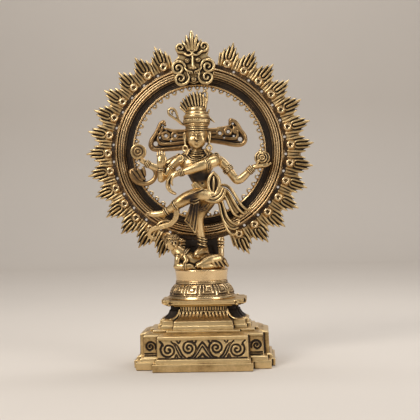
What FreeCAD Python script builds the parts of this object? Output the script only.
import FreeCAD, Part
import math
import os

# Cast brass dancer inside a ring of flames, on a stepped pedestal.
# Millimetres. +X is the viewer's right, -Y is the front, +Z is up.
# The origin is the centre of the pedestal's underside.

# ---- driving dimensions -------------------------------------------------------------------
SEAT_X = -2.7              # axis of the lotus, drum and ring, set slightly off the pedestal's axis
RING_Y = 8.5               # mid-plane of the flame ring
RING_Z = 218.2             # height of the ring's centre
RING_TILT = 1.1            # degrees the ring is turned in its own plane
HOOP_BORE_R = 68.0
HOOP_RIM_R = 92.0          # outer radius of the flange that carries the flames
FLAME_TIP_R = 119.8
FLAME_PITCH = 11.35        # degrees from one flame to the next
FLAMES_PER_SIDE = 13
FIRST_FLAME = 20.4         # degrees from the top of the ring to the first flame
BEAD_COUNT = 50
BEAD_R = 2.4
ROUNDEL_R = 4.1
ROUNDEL_RING_R = 94.9

FOOT_TOP = 7.7
STEP_TOP = 11.6
FRIEZE_TOP = 34.0
PLINTH_TOP = 35.7
TIER_TOP = 66.9
LOTUS_TOP = 85.5
DRUM_TOP = 96.9
LOTUS_R = 34.7
DRUM_R = 26.4

WALL = 3.5
ROD_R = 3.0
ROD_HOLE_R = 3.3
ROD_BOTTOM = 21.0
ROD_TOP = 92.0
NUT_HEIGHT = 5.0
WASHER_HEIGHT = 1.2
POCKET_TOP = 30.0
DOWEL_R = 1.1
DOWEL_HALF = 3.6

V = FreeCAD.Vector
UP = V(0, 0, 1)
BACK = V(0, 1, 0)
RING_CENTRE = V(SEAT_X, 0, RING_Z)


# ---- small helpers ------------------------------------------------------------------------
def largest_solids(shape, keep=1):
    """Drop the slivers that a cut can leave behind."""
    solids = sorted(shape.Solids, key=lambda s: -s.Volume)
    if keep == 1:
        return solids[0]
    return Part.makeCompound(solids[:keep])


def closed_curve(points):
    curve = Part.BSplineCurve()
    curve.interpolate(points, PeriodicFlag=True)
    return Part.Wire(curve.toShape())


def ellipse(centre, across, depth, r_across, r_depth, count=12):
    points = []
    for i in range(count):
        a = 2 * math.pi * i / count
        points.append(centre + across * (r_across * math.cos(a)) + depth * (r_depth * math.sin(a)))
    return closed_curve(points)


def limb(stations, ref=BACK):
    """Loft through ellipses. A station is x, y, z, radius across, radius along ref."""
    places = [V(*s[:3]) for s in stations]
    wires = []
    last = len(places) - 1
    for i, station in enumerate(stations):
        run = places[min(i + 1, last)] - places[max(i - 1, 0)]
        run.normalize()
        across = run.cross(ref)
        across.normalize()
        depth = across.cross(run)
        wires.append(ellipse(places[i], across, depth, station[3], station[4]))
    return Part.makeLoft(wires, True, False)


def standing_form(sections):
    """Loft through level ellipses. A section is z, x, y, half width, half depth."""
    wires = [ellipse(V(x, y, z), V(1, 0, 0), BACK, w, d) for z, x, y, w, d in sections]
    return Part.makeLoft(wires, True, False)


def plate(outline, front, back, smooth=True):
    """A flat casting: an outline in X and Z, from y = front to y = back."""
    points = [V(x, front, z) for x, z in outline]
    wire = closed_curve(points) if smooth else Part.makePolygon(points + points[:1])
    return Part.Face(wire).extrude(BACK * (back - front))


def ball(centre, radius):
    return Part.makeSphere(radius, V(*centre))


def rod(start, end, radius):
    a = V(*start)
    b = V(*end)
    return Part.makeCylinder(radius, (b - a).Length, a, b - a)


def turned(profile, x=0.0, y=0.0):
    """Revolve a radius and height profile about a vertical axis."""
    points = [V(x + r, y, z) for r, z in profile]
    face = Part.Face(Part.makePolygon(points + points[:1]))
    return face.revolve(V(x, y, 0), UP, 360)


def fuse(shapes, merge_faces=True):
    whole = shapes[0]
    for shape in shapes[1:]:
        whole = whole.fuse(shape)
    return whole.removeSplitter() if merge_faces else whole


def about_ring(shape, angle):
    """Turn a shape about the ring's centre, clockwise as seen from the front."""
    copy = shape.copy()
    copy.rotate(RING_CENTRE, BACK, angle)
    return copy


# ---- pedestal -----------------------------------------------------------------------------
def cross_plan(z, front_half, front_y, wing_half, wing_y, side_x, side_half):
    """Stepped cross outline: a body with a projection on each of its four sides."""
    quarter = [(front_half, front_y), (front_half, wing_y), (wing_half, wing_y), (wing_half, side_half),
               (side_x, side_half)]
    points = [V(x, -y, z) for x, y in quarter]
    points += [V(x, y, z) for x, y in reversed(quarter)]
    points += [V(-x, y, z) for x, y in quarter]
    points += [V(-x, -y, z) for x, y in reversed(quarter)]
    return Part.makePolygon(points + points[:1])


def tiers(levels):
    """Stack of ruled blocks. A level is z, then the plan's six sizes."""
    blocks = []
    for low, high in levels:
        blocks.append(Part.makeLoft([cross_plan(*low), cross_plan(*high)], True, True))
    return fuse(blocks)


FOOT_PLAN = (49.2, 62.0, 67.2, 47.0, 71.0, 30.0)
STEP_PLAN = (46.6, 59.4, 63.5, 44.8, 68.2, 28.0)
FRIEZE_PLAN = (44.6, 57.0, 59.5, 43.0, 65.0, 26.0)
SHOULDER_PLAN = (40.0, 50.0, 54.0, 38.0, 58.5, 22.0)
POCKET_PLAN = (41.0, 53.5, 56.0, 39.5, 61.5, 22.5)


def plinth():
    body = tiers([((0.0, *FOOT_PLAN), (FOOT_TOP, *FOOT_PLAN)),
                  ((FOOT_TOP, *STEP_PLAN), (STEP_TOP, *STEP_PLAN)),
                  ((STEP_TOP, *FRIEZE_PLAN), (FRIEZE_TOP, *FRIEZE_PLAN)),
                  ((FRIEZE_TOP, *FRIEZE_PLAN), (PLINTH_TOP, *SHOULDER_PLAN))])
    pocket = tiers([((-1.0, *POCKET_PLAN), (POCKET_TOP, *POCKET_PLAN))])
    hole = rod((SEAT_X, 0, 0), (SEAT_X, 0, PLINTH_TOP + 1), ROD_HOLE_R)
    return body.cut(pocket).cut(hole)


def upper_tier():
    step = (36.6, 44.0, 51.0, 35.0, 55.0, 20.0)
    low_slab = (29.8, 40.0, 43.0, 30.5, 47.0, 18.0)
    high_slab = (29.0, 38.5, 41.5, 29.0, 45.0, 17.0)
    flare_foot = (28.5, 37.5, 40.5, 28.0, 43.5, 16.5)
    flare_mid = (25.4, 30.5, 36.0, 23.0, 38.5, 13.5)
    flare_top = (24.0, 27.5, 33.5, 20.0, 36.0, 12.0)
    neck = (23.7, 26.0, 32.0, 18.5, 34.5, 11.0)
    cornice_under = (28.5, 31.0, 37.0, 23.0, 39.5, 15.0)
    cornice = (32.8, 34.5, 41.0, 26.5, 43.5, 17.0)
    body = tiers([((PLINTH_TOP, *step), (38.4, *step)),
                  ((38.4, *low_slab), (42.2, *low_slab)),
                  ((42.2, *high_slab), (46.9, *high_slab)),
                  ((46.9, *flare_foot), (50.5, *flare_mid)),
                  ((50.5, *flare_mid), (55.6, *flare_top)),
                  ((55.6, *neck), (60.6, *neck)),
                  ((60.6, *cornice_under), (63.0, *cornice)),
                  ((63.0, *cornice), (TIER_TOP, *cornice))])
    core = Part.makeBox(38, 38, 60.0 - PLINTH_TOP + 1, V(-19, -19, PLINTH_TOP - 1))
    hole = rod((SEAT_X, 0, 50), (SEAT_X, 0, TIER_TOP + 1), ROD_HOLE_R)
    return body.cut(core).cut(hole)


def lotus_seat():
    return turned([(ROD_HOLE_R, TIER_TOP), (LOTUS_R - 0.5, TIER_TOP), (LOTUS_R, 68.2),
                   (LOTUS_R - 0.5, 69.8), (33.2, 70.3), (33.5, 72.0), (32.6, 75.5), (30.2, 79.3),
                   (27.2, 81.8), (26.9, 83.2), (25.8, 84.0), (DRUM_R, LOTUS_TOP),
                   (ROD_HOLE_R, LOTUS_TOP)], SEAT_X)


def seat_drum():
    drum = turned([(0, LOTUS_TOP), (DRUM_R - 0.4, LOTUS_TOP), (DRUM_R, 90.0), (27.1, 94.5),
                   (27.4, DRUM_TOP - 0.8), (26.9, DRUM_TOP), (0, DRUM_TOP)], SEAT_X)
    threads = rod((SEAT_X, 0, LOTUS_TOP - 1), (SEAT_X, 0, ROD_TOP + 0.5), ROD_R + 0.05)
    return drum.cut(threads)


def drum_pin():
    """Cross pin through the drum's wall, from the front left, that locks the drum to the rod."""
    angle = math.radians(217)
    way = V(math.cos(angle), math.sin(angle), 0)
    inner = V(SEAT_X, 0, 90.2) + way * (ROD_R + 0.2)
    return Part.makeCylinder(1.2, 26.0 - ROD_R - 0.2, inner, way)


def tie_rod():
    return rod((SEAT_X, 0, ROD_BOTTOM), (SEAT_X, 0, ROD_TOP), ROD_R)


def rod_washer():
    disc = rod((SEAT_X, 0, POCKET_TOP - WASHER_HEIGHT), (SEAT_X, 0, POCKET_TOP), 7.5)
    return disc.cut(rod((SEAT_X, 0, 0), (SEAT_X, 0, POCKET_TOP), ROD_HOLE_R))


def rod_nut():
    top = POCKET_TOP - WASHER_HEIGHT
    corner_r = 5.8
    corners = []
    for i in range(6):
        a = math.radians(60 * i)
        corners.append(V(SEAT_X + corner_r * math.cos(a), corner_r * math.sin(a), top - NUT_HEIGHT))
    block = Part.Face(Part.makePolygon(corners + corners[:1])).extrude(UP * NUT_HEIGHT)
    return block.cut(rod((SEAT_X, 0, 0), (SEAT_X, 0, POCKET_TOP), ROD_R + 0.05))


# ---- flame ring ---------------------------------------------------------------------------
FLANGE_FRONT = RING_Y - 1.3
FLANGE_BACK = RING_Y + 3.0
HOOP_FRONT = RING_Y - 5.5
HOOP_BACK = RING_Y + 5.5


def flame_angles(side):
    return [side * (FIRST_FLAME + FLAME_PITCH * i) - RING_TILT for i in range(FLAMES_PER_SIDE)]


def on_ring(radius, y):
    """A point straight above the ring's centre, ready to be turned to its angle."""
    return V(SEAT_X, y, RING_Z + radius)


def ring_hoop():
    section = [(HOOP_BORE_R, HOOP_FRONT + 2.2), (HOOP_BORE_R, HOOP_BACK - 1.5), (70.0, HOOP_BACK),
               (86.5, HOOP_BACK), (87.8, FLANGE_BACK), (HOOP_RIM_R, FLANGE_BACK),
               (HOOP_RIM_R, FLANGE_FRONT), (88.2, FLANGE_FRONT), (87.9, HOOP_FRONT + 1.0),
               (85.5, HOOP_FRONT), (79.5, HOOP_FRONT), (77.4, HOOP_FRONT + 1.6), (75.5, HOOP_FRONT + 5.0),
               (71.5, HOOP_FRONT + 5.6), (70.0, HOOP_FRONT + 4.0), (69.6, HOOP_FRONT + 2.2)]
    points = [on_ring(r, y) for r, y in section]
    hoop = Part.Face(Part.makePolygon(points + points[:1])).revolve(RING_CENTRE, BACK, 360)
    vent = Part.makeCylinder(1.3, 20, on_ring(90.1, FLANGE_FRONT - 5), BACK)
    vents = []
    for side in (-1, 1):
        for angle in flame_angles(side)[:-1]:
            vents.append(about_ring(vent, angle + side * FLAME_PITCH / 2))
    return hoop.cut(Part.makeCompound(vents))


def pearl_beads(hoop):
    bead = ball(on_ring(HOOP_BORE_R - 1.4, RING_Y - 0.5), BEAD_R)
    bead = bead.cut(Part.makeCylinder(HOOP_BORE_R + 5, 20, RING_CENTRE, BACK).cut(
        Part.makeCylinder(HOOP_BORE_R, 20, RING_CENTRE, BACK)))
    return Part.makeCompound([about_ring(bead, 360.0 * i / BEAD_COUNT) for i in range(BEAD_COUNT)])


def flame_tongue():
    """One flame standing on the flange at the top of the ring: five tips, the middle one tallest."""
    half = [(6.4, 0.0), (8.8, 3.5), (9.6, 10.0), (9.5, 17.0), (7.3, 14.6), (6.1, 21.0), (3.7, 18.2),
            (2.4, 22.5), (0.0, FLAME_TIP_R - HOOP_RIM_R)]
    outline = [(SEAT_X + u, RING_Z + HOOP_RIM_R + v) for u, v in half]
    outline += [(SEAT_X - u, RING_Z + HOOP_RIM_R + v) for u, v in reversed(half[:-1])]
    flame = plate(outline, RING_Y - 3.7, RING_Y + 3.0, smooth=False)
    rim = Part.makeCylinder(HOOP_RIM_R, 30, RING_CENTRE, BACK)
    seat = Part.makeCylinder(ROUNDEL_R + 0.3, 10, on_ring(ROUNDEL_RING_R, FLANGE_FRONT - 10), BACK)
    foot = Part.makeBox(12.8, 6.7, 1.2, V(SEAT_X - 6.4, RING_Y - 3.7, RING_Z + HOOP_RIM_R - 1.0))
    return largest_solids(flame.fuse(foot).cut(rim).cut(seat).removeSplitter())


def flame_row(side):
    flame = flame_tongue()
    return Part.makeCompound([about_ring(flame, angle) for angle in flame_angles(side)])


def flame_roundels():
    boss = Part.makeCylinder(ROUNDEL_R, 3.8, on_ring(ROUNDEL_RING_R, FLANGE_FRONT - 3.8), BACK)
    dimple = Part.makeCone(2.2, 1.4, 1.8, on_ring(ROUNDEL_RING_R, FLANGE_FRONT - 3.8), BACK)
    boss = boss.cut(dimple)
    angles = flame_angles(-1) + flame_angles(1)
    return Part.makeCompound([about_ring(boss, angle) for angle in angles])


CREST_X = -5.4
CREST_Z = 286.0
CREST_TILT = 2.0


def crest_mask(hoop):
    """Beast mask over the top of the hoop, with scrolled cheeks, horns and a plume of tongues."""
    half = [(3.2, 50.0), (7.0, 49.5), (9.8, 43.0), (15.5, 45.5), (18.5, 39.0), (16.0, 31.0), (20.5, 27.5),
            (23.6, 18.0), (21.5, 8.0), (14.5, 0.8), (6.5, 3.2)]
    outline = [(CREST_X + u, CREST_Z + v) for u, v in half]
    outline += [(CREST_X, CREST_Z + 1.0)]
    outline += [(CREST_X - u, CREST_Z + v) for u, v in reversed(half)]
    outline += [(CREST_X, CREST_Z + 57.2)]
    body = plate(outline, HOOP_FRONT - 4.5, FLANGE_BACK, smooth=False)
    relief = [body, ball((CREST_X, HOOP_FRONT - 4, CREST_Z + 20), 6.5)]
    for side in (-1, 1):
        for u, v, radius, lift in ((13.0, 12.0, 9.0, 2.0), (12.5, 39.0, 5.5, 2.0), (5.2, 27.0, 3.0, 2.5)):
            start = (CREST_X + side * u, HOOP_FRONT - 4.5 - lift, CREST_Z + v)
            relief.append(rod(start, (start[0], HOOP_FRONT, start[2]), radius))
    mask = fuse(relief)
    mask.rotate(V(CREST_X, 0, CREST_Z), BACK, -CREST_TILT)
    swept_hoop = Part.makeCylinder(HOOP_RIM_R, 30, on_ring(0, HOOP_FRONT), BACK)
    return largest_solids(mask.cut(swept_hoop).cut(hoop))


def crest_rivets():
    """Two rivets through the hoop's top into the back of the mask, heads at the rear."""
    rivets = []
    for u in (-9.0, 9.0):
        shank = rod((CREST_X + u, HOOP_FRONT - 3.0, 299.0), (CREST_X + u, HOOP_BACK, 299.0), 1.2)
        head = rod((CREST_X + u, HOOP_BACK, 299.0), (CREST_X + u, HOOP_BACK + 1.3, 299.0), 2.4)
        rivets.append(shank.fuse(head).removeSplitter())
    return Part.makeCompound(rivets)


POST_OFFSET = 20.0
POST_Y = RING_Y + 0.5
WEB_THICK = 4.0


def ring_foot(side):
    """Banded post from the drum up to the underside of the hoop, with a tenon let into the drum."""
    x = SEAT_X + side * POST_OFFSET
    post = turned([(0, DRUM_TOP - 5), (2.0, DRUM_TOP - 5), (2.0, DRUM_TOP), (4.8, DRUM_TOP), (4.6, 99.5),
                   (3.4, 101.5), (3.2, 118.0), (4.0, 119.5), (3.4, 121.0), (4.2, 122.5), (3.5, 124.0),
                   (4.4, 125.5), (3.8, 127.5), (4.6, 133.5), (0, 133.5)], x, POST_Y)
    return largest_solids(post.cut(Part.makeCylinder(HOOP_RIM_R, 40, on_ring(0, -10), BACK)))


def ring_web(feet):
    """Wall that fills the gap between the two feet, from the drum up to the hoop."""
    corner = V(SEAT_X - POST_OFFSET, POST_Y - WEB_THICK / 2, DRUM_TOP)
    wall = Part.makeBox(2 * POST_OFFSET, WEB_THICK, 36.0, corner)
    wall = wall.cut(Part.makeCylinder(HOOP_RIM_R, 40, on_ring(0, -10), BACK))
    for foot in feet:
        wall = wall.cut(foot)
    return largest_solids(wall)


def ring_foot_pins():
    """Pin up through each post's axis into the hoop's flange."""
    pins = []
    for side in (-1, 1):
        x = SEAT_X + side * POST_OFFSET
        pins.append(rod((x, POST_Y, 112.0), (x, POST_Y, 133.0), 1.2))
    return Part.makeCompound(pins)


# ---- figure -------------------------------------------------------------------------------
HIP_Z = 164.0              # level joint between the torso and the standing leg


def torso():
    return standing_form([(HIP_Z, 7.0, -6.5, 9.0, 7.0), (167.0, 7.5, -6.5, 12.0, 8.6),
                          (174.0, 6.5, -6.5, 13.4, 9.4), (181.0, 3.0, -6.5, 11.2, 8.4),
                          (187.0, 0.3, -6.5, 10.3, 7.8), (194.0, -2.2, -6.8, 13.0, 8.6),
                          (202.0, -3.5, -7.2, 16.8, 9.6), (208.5, -4.2, -7.0, 18.6, 9.0),
                          (213.5, -4.2, -6.8, 14.0, 7.4), (217.0, -3.8, -7.2, 7.6, 6.6),
                          (221.5, -3.6, -7.6, 6.4, 6.2)])


def head():
    return standing_form([(219.3, -3.5, -11.5, 3.2, 3.2), (221.5, -3.5, -10.4, 6.0, 7.2),
                          (226.0, -3.5, -9.2, 8.6, 9.6), (232.0, -3.5, -8.6, 9.8, 10.6),
                          (238.0, -3.5, -8.2, 10.4, 10.8), (243.5, -3.5, -8.0, 10.6, 10.6)])


def crown():
    """Banded headdress with a fan of feathers that spreads to the figure's right."""
    bands = turned([(0, 243.5), (12.4, 243.5), (12.8, 245.0), (12.8, 250.0), (12.0, 251.0), (12.3, 253.5),
                    (11.8, 256.0), (9.8, 257.0), (9.6, 261.5), (8.0, 262.5), (0, 262.5)], -3.5, -8.0)
    fan = plate([(-12.0, 255.0), (-19.5, 262.0), (-21.5, 266.5), (-17.5, 271.5), (-11.0, 276.0),
                 (-3.0, 279.5), (2.5, 278.5), (7.2, 276.5), (8.2, 268.0),
                 (7.0, 258.0)], -11.0, -4.0, smooth=False)
    return fuse([bands, fan])


def hair_left():
    outline = [(-11.5, 222.0), (-22.0, 219.6), (-34.0, 218.8), (-46.0, 218.8), (-52.0, 220.2),
               (-54.0, 224.5), (-51.8, 230.5), (-46.5, 238.0), (-43.2, 243.0), (-42.6, 249.5),
               (-40.0, 251.2), (-37.8, 247.5), (-37.0, 241.0), (-30.0, 240.2), (-22.0, 239.8),
               (-11.5, 241.0)]
    locks = plate(outline, -4.0, 3.5, smooth=False)
    return locks.cut(plate([(-49.5, 223.0), (-50.5, 226.0), (-47.0, 230.0), (-44.0, 226.0),
                            (-44.5, 223.0)], -10, 10, smooth=False))


def hair_right():
    outline = [(6.0, 226.5), (14.0, 226.8), (24.0, 225.0), (34.0, 222.8), (42.0, 222.4), (46.8, 225.5),
               (48.0, 230.5), (44.0, 237.0), (38.5, 242.0), (35.5, 248.5), (32.4, 252.0), (29.8, 249.5),
               (29.8, 243.5), (26.0, 240.6), (16.0, 241.0), (6.0, 240.0)]
    locks = plate(outline, -4.0, 3.5, smooth=False)
    return locks.cut(plate([(37.5, 226.0), (42.5, 225.5), (43.5, 229.0), (40.0, 232.5),
                            (37.8, 230.0)], -10, 10, smooth=False))


def front_left_arm():
    """The arm that crosses the chest and lets its hand hang like an elephant's trunk."""
    return limb([(14.5, -3.5, 207.6, 5.0, 5.0), (15.2, -9.0, 207.4, 6.0, 5.8),
                 (10.6, -15.0, 205.4, 6.2, 5.6), (0.0, -20.5, 201.6, 5.6, 5.0),
                 (-10.0, -22.0, 198.2, 4.4, 4.2), (-19.7, -22.0, 195.4, 3.6, 3.4),
                 (-26.5, -21.2, 194.2, 4.0, 3.0), (-31.2, -20.2, 190.2, 3.4, 2.6),
                 (-33.2, -19.2, 183.0, 2.8, 2.2), (-30.0, -18.4, 176.6, 2.1, 1.8),
                 (-24.8, -18.0, 173.2, 1.1, 1.1)])


def front_right_arm():
    """The arm whose open palm faces forward."""
    upper = limb([(-14.0, -8.0, 208.4, 4.6, 4.6), (-22.0, -8.2, 208.6, 5.4, 5.2),
                  (-28.0, -9.0, 205.0, 5.6, 5.2), (-36.0, -11.0, 194.5, 4.6, 4.6),
                  (-40.5, -13.0, 189.8, 4.0, 4.2)])
    lower = limb([(-39.6, -12.6, 188.4, 3.4, 3.6), (-40.6, -14.6, 195.0, 3.9, 3.8),
                  (-40.6, -16.0, 201.0, 3.3, 2.9), (-40.4, -17.0, 206.0, 4.4, 2.4),
                  (-40.0, -17.0, 211.0, 4.3, 2.2), (-39.2, -16.6, 216.4, 3.0, 1.8),
                  (-39.0, -16.2, 218.6, 1.2, 0.9)])
    return fuse([upper, lower], merge_faces=False)


def rear_right_arm():
    return limb([(-15.0, -4.5, 210.0, 4.4, 4.0), (-23.0, -2.2, 210.4, 4.8, 4.4),
                 (-31.0, -0.5, 207.5, 4.8, 4.4), (-40.0, 0.0, 202.6, 4.2, 4.0),
                 (-47.0, -0.5, 201.6, 4.2, 4.0), (-53.0, -1.2, 204.4, 3.8, 3.6),
                 (-58.6, -2.0, 208.0, 3.2, 3.0), (-62.0, -2.6, 210.4, 2.2, 2.6)])


def hand_drum():
    """Small hourglass drum with its axis towards the viewer."""
    x, z = -64.6, 218.9
    profile = [(0, -10.0), (7.7, -10.0), (7.9, -8.5), (4.4, -3.5), (7.9, 1.0), (7.7, 2.4), (0, 2.4)]
    points = [V(x + r, y, z) for r, y in profile]
    return Part.Face(Part.makePolygon(points + points[:1])).revolve(V(x, 0, z), BACK, 360)


def arm_serpent():
    outline = [(-75.0, 199.8), (-72.5, 192.5), (-67.5, 187.0), (-61.0, 184.4), (-54.0, 185.4),
               (-48.6, 190.5), (-46.6, 196.4), (-51.0, 199.0), (-57.5, 201.5), (-66.0, 200.5)]
    body = plate(outline, -4.0, 2.0)
    return body.cut(rod((-54.6, -9, 194.6), (-54.6, 9, 194.6), 2.9))


def rear_left_arm():
    return limb([(7.0, -5.5, 210.0, 4.4, 4.0), (14.5, -4.2, 209.6, 5.0, 4.6),
                 (22.5, -3.4, 204.5, 5.4, 4.8), (30.5, -4.2, 194.0, 4.8, 4.4),
                 (36.0, -5.4, 186.8, 4.6, 4.4), (42.5, -5.4, 189.5, 4.4, 4.2),
                 (50.0, -5.0, 197.0, 3.6, 3.4), (56.5, -5.0, 201.0, 3.2, 4.2),
                 (64.0, -5.0, 202.2, 2.8, 5.0), (71.5, -5.0, 203.8, 1.2, 2.2)])


def hand_flame():
    """Tongue of fire that stands in the cupped hand."""
    return standing_form([(201.6, 62.8, -5.8, 5.4, 3.2), (204.5, 62.8, -5.8, 7.4, 4.6),
                          (208.5, 62.6, -5.8, 7.8, 5.0), (213.0, 62.2, -5.8, 5.9, 4.2),
                          (216.6, 61.8, -5.8, 2.8, 2.4), (218.6, 61.6, -5.8, 0.9, 0.9)])


def raised_leg():
    """The leg lifted across the body, foot out to the figure's right."""
    return limb([(15.5, -7.5, 171.0, 8.0, 7.0), (8.0, -12.0, 172.0, 8.8, 7.8),
                 (-3.0, -17.0, 173.4, 7.8, 7.2), (-12.0, -18.6, 170.8, 6.4, 6.2),
                 (-24.0, -17.4, 164.0, 5.6, 5.4), (-34.0, -15.6, 157.6, 4.3, 4.2),
                 (-40.0, -14.8, 155.0, 4.6, 4.2), (-46.0, -14.2, 153.8, 4.6, 3.9),
                 (-53.0, -13.4, 154.6, 3.4, 3.4), (-58.4, -13.0, 155.8, 1.8, 2.2)])


def standing_leg():
    shank = limb([(6.0, -6.0, 168.5, 8.0, 7.4), (1.0, -8.0, 162.0, 7.8, 7.4),
                  (-4.0, -9.4, 154.0, 6.6, 6.6), (-4.2, -8.4, 144.0, 5.4, 5.6),
                  (-2.0, -6.8, 133.0, 4.4, 4.6), (-0.4, -6.0, 125.0, 4.6, 4.8),
                  (-0.4, -6.0, 118.5, 5.2, 5.4), (-0.4, -6.0, 114.5, 5.0, 5.6)])
    above_hip = Part.makeBox(60, 60, 20, V(-30, -36, HIP_Z))
    foot = limb([(0.6, 0.5, 113.6, 4.0, 3.2), (0.2, -3.0, 114.4, 5.4, 4.8), (-1.4, -9.0, 113.8, 6.0, 4.6),
                 (-3.8, -14.5, 112.0, 6.4, 3.2), (-5.6, -19.0, 110.8, 4.6, 1.8)], ref=UP)
    return fuse([shank.cut(above_hip), foot], merge_faces=False)


def waist_sash():
    """Belt slung round the hips, with its leaf-shaped knot on the figure's left."""
    hips = standing_form([(164.5, 9.0, -6.5, 13.4, 10.4), (168.5, 8.4, -6.5, 15.0, 11.2),
                          (175.5, 6.6, -6.5, 15.2, 11.2), (180.0, 5.0, -6.5, 13.6, 10.4)])
    knot = limb([(11.0, -17.0, 195.0, 1.6, 1.4), (13.5, -17.4, 189.0, 4.4, 2.6),
                 (13.8, -17.6, 182.0, 5.2, 3.0), (12.0, -17.4, 175.5, 4.0, 2.6),
                 (11.2, -17.0, 171.5, 1.8, 1.8)])
    return fuse([hips, knot], merge_faces=False)


def sash_tails():
    outline = [(16.0, 178.0), (20.0, 184.5), (27.0, 182.0), (34.0, 173.0), (40.5, 163.0), (46.5, 156.0),
               (42.5, 152.5), (38.5, 149.5), (40.5, 139.0), (36.5, 130.5), (30.5, 130.0), (24.5, 141.0),
               (19.0, 153.0), (17.6, 165.0)]
    return plate(outline, -6.5, -0.5)


def cloth_panel():
    outline = [(-11.5, 164.0), (-2.0, 164.0), (-3.2, 150.0), (-5.0, 138.0), (-7.5, 132.5), (-11.0, 138.5),
               (-18.6, 146.0), (-15.0, 155.0)]
    return plate(outline, -17.2, -13.6)


def leg_scarf():
    """Scarf that hangs from the raised knee and hooks back under the foot."""
    return limb([(-26.5, -18.0, 160.5, 2.2, 2.2), (-26.2, -18.0, 153.0, 2.8, 2.6),
                 (-29.5, -17.0, 145.5, 2.8, 2.6), (-37.0, -15.0, 141.0, 2.8, 2.6),
                 (-46.0, -12.8, 139.6, 2.6, 2.4), (-53.0, -10.8, 137.4, 2.4, 2.2),
                 (-54.4, -9.6, 131.5, 2.0, 2.0), (-49.5, -8.6, 127.6, 1.4, 1.6)])


def dwarf():
    """Dwarf lying under the standing foot, chest raised on a forearm, knees drawn up."""
    trunk = limb([(-27.0, -13.0, 117.0, 6.0, 6.4), (-20.0, -13.0, 111.0, 8.0, 8.4),
                  (-8.0, -11.0, 104.6, 8.0, 10.0), (4.0, -9.5, 104.6, 8.0, 10.4),
                  (13.0, -8.0, 104.2, 7.0, 9.4), (19.5, -6.0, 103.0, 5.0, 7.0)])
    forearm = limb([(-27.0, -14.5, 100.0, 3.4, 3.8), (-22.0, -18.0, 100.6, 4.0, 4.2),
                    (-14.0, -21.0, 100.6, 3.6, 3.8), (-11.5, -22.0, 100.6, 2.4, 2.6)])
    shin = limb([(-8.0, -20.5, 100.2, 2.2, 2.4), (0.0, -20.0, 100.0, 2.8, 3.0),
                 (9.0, -16.0, 100.2, 3.2, 3.4), (17.0, -9.0, 100.4, 3.0, 3.2)])
    arm = limb([(-24.0, -16.0, 113.0, 3.4, 3.4), (-21.0, -19.0, 108.0, 3.0, 3.0),
                (-18.5, -20.0, 102.5, 2.6, 2.6)])
    body = fuse([trunk, forearm, shin, arm], merge_faces=False)
    below = Part.makeBox(120, 120, 30, V(-60, -60, DRUM_TOP - 30))
    return body.cut(below)


def dwarf_head():
    skull = ball((-31.0, -13.5, 125.0), 8.6)
    bun = ball((-35.5, -9.5, 130.5), 5.2)
    chin = ball((-26.5, -17.5, 121.5), 4.4)
    return fuse([skull, bun, chin], merge_faces=False)


JOINTS = [  # piece, piece it is set into, point on the joint, direction of the dowel
    ("head", "torso", (-3.6, -7.8, 220.6), (0, 0, 1)),
    ("front_left_arm", "torso", (13.0, -11.2, 206.4), (0.1, 1, 0.05)),
    ("front_right_arm", "torso", (-21.0, -8.0, 208.0), (1, 0, 0)),
    ("rear_right_arm", "torso", (-21.5, -2.2, 210.0), (1, -0.3, -0.2)),
    ("rear_left_arm", "torso", (13.4, -4.6, 209.6), (-1, -0.15, 0.05)),
    ("raised_leg", "torso", (-2.2, -14.6, 173.0), (1, 0.4, 0)),
    ("standing_leg", "torso", (4.5, -6.8, HIP_Z), (0, 0, 1)),
    ("standing_leg", "dwarf", (-2.0, -8.0, 111.0), (0, 0, 1)),
    ("dwarf_head", "dwarf", (-28.0, -13.2, 119.5), (-0.4, 0, 1)),
    ("crown", "head", (-3.5, -8.0, 243.5), (0, 0, 1)),
]


def figure_pieces():
    """All castings of the figure, each trimmed by the ones it is seated on."""
    pieces = {
        "torso": torso(), "head": head(), "crown": crown(), "hair_left": hair_left(),
        "hair_right": hair_right(),
        "standing_leg": standing_leg(), "raised_leg": raised_leg(), "waist_sash": waist_sash(),
        "front_left_arm": front_left_arm(), "front_right_arm": front_right_arm(),
        "rear_right_arm": rear_right_arm(), "rear_left_arm": rear_left_arm(), "hand_drum": hand_drum(),
        "arm_serpent": arm_serpent(), "hand_flame": hand_flame(), "sash_tails": sash_tails(),
        "cloth_panel": cloth_panel(), "leg_scarf": leg_scarf(), "dwarf": dwarf(),
        "dwarf_head": dwarf_head(),
    }
    order = list(TRIM_ORDER)
    for place, name in enumerate(order):
        for earlier in order[:place]:
            if pieces[name].BoundBox.intersect(pieces[earlier].BoundBox):
                pieces[name] = pieces[name].cut(pieces[earlier])
        pieces[name] = largest_solids(pieces[name])
    return pieces


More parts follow.
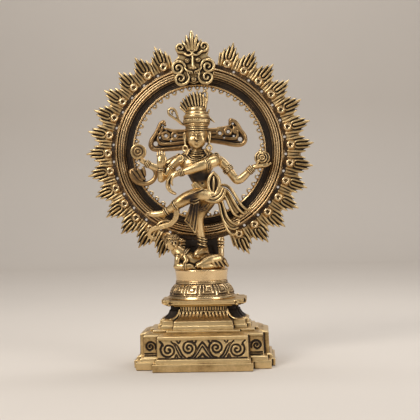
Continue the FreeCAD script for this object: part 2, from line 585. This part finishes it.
TRIM_ORDER = ["torso", "head", "crown", "raised_leg", "standing_leg", "front_left_arm", "front_right_arm",
              "rear_right_arm", "rear_left_arm", "hand_drum", "hand_flame", "arm_serpent", "hair_left",
              "hair_right",
              "waist_sash", "cloth_panel", "sash_tails", "leg_scarf", "dwarf", "dwarf_head"]


def set_dowels(pieces):
    """A dowel at each joint, with a close blind hole for it in both pieces."""
    dowels = []
    for first, second, place, way in JOINTS:
        way = V(*way)
        way.normalize()
        start = V(*place) - way * DOWEL_HALF
        dowels.append(Part.makeCylinder(DOWEL_R, 2 * DOWEL_HALF, start, way))
        hole = Part.makeCylinder(DOWEL_R + 0.05, 2 * DOWEL_HALF + 0.4, start - way * 0.2, way)
        pieces[first] = largest_solids(pieces[first].cut(hole))
        pieces[second] = largest_solids(pieces[second].cut(hole))
    pieces["limb_dowels"] = Part.makeCompound(dowels)


# ---- assembly -----------------------------------------------------------------------------
def build():
    parts = figure_pieces()
    set_dowels(parts)
    hoop = ring_hoop()
    pins = ring_foot_pins()
    rivets = crest_rivets()
    parts["crest_mask"] = crest_mask(hoop).cut(rivets)
    parts["crest_rivets"] = rivets
    parts["pearl_beads"] = pearl_beads(hoop)
    parts["flames_left"] = flame_row(-1)
    parts["flames_right"] = flame_row(1)
    parts["flame_roundels"] = flame_roundels()
    parts["ring_hoop"] = hoop.cut(rivets).cut(pins)
    for name, side in (("ring_foot_left", -1), ("ring_foot_right", 1)):
        parts[name] = ring_foot(side).cut(pins)
    parts["ring_foot_pins"] = pins
    feet = [parts["ring_foot_left"], parts["ring_foot_right"]]
    parts["ring_web"] = ring_web(feet).cut(pins)
    parts["plinth"] = plinth()
    parts["upper_tier"] = upper_tier()
    parts["lotus_seat"] = lotus_seat()
    parts["seat_drum"] = seat_drum().cut(drum_pin()).cut(Part.makeCompound(feet))
    parts["drum_pin"] = drum_pin()
    parts["tie_rod"] = tie_rod()
    parts["rod_washer"] = rod_washer()
    parts["rod_nut"] = rod_nut()
    for name in ("dwarf", "dwarf_head", "sash_tails", "leg_scarf"):
        for foot in feet:
            parts[name] = largest_solids(parts[name].cut(foot))
    return parts


os.makedirs("parts", exist_ok=True)
for node, shape in build().items():
    shape.exportStep("parts/" + node + ".step")
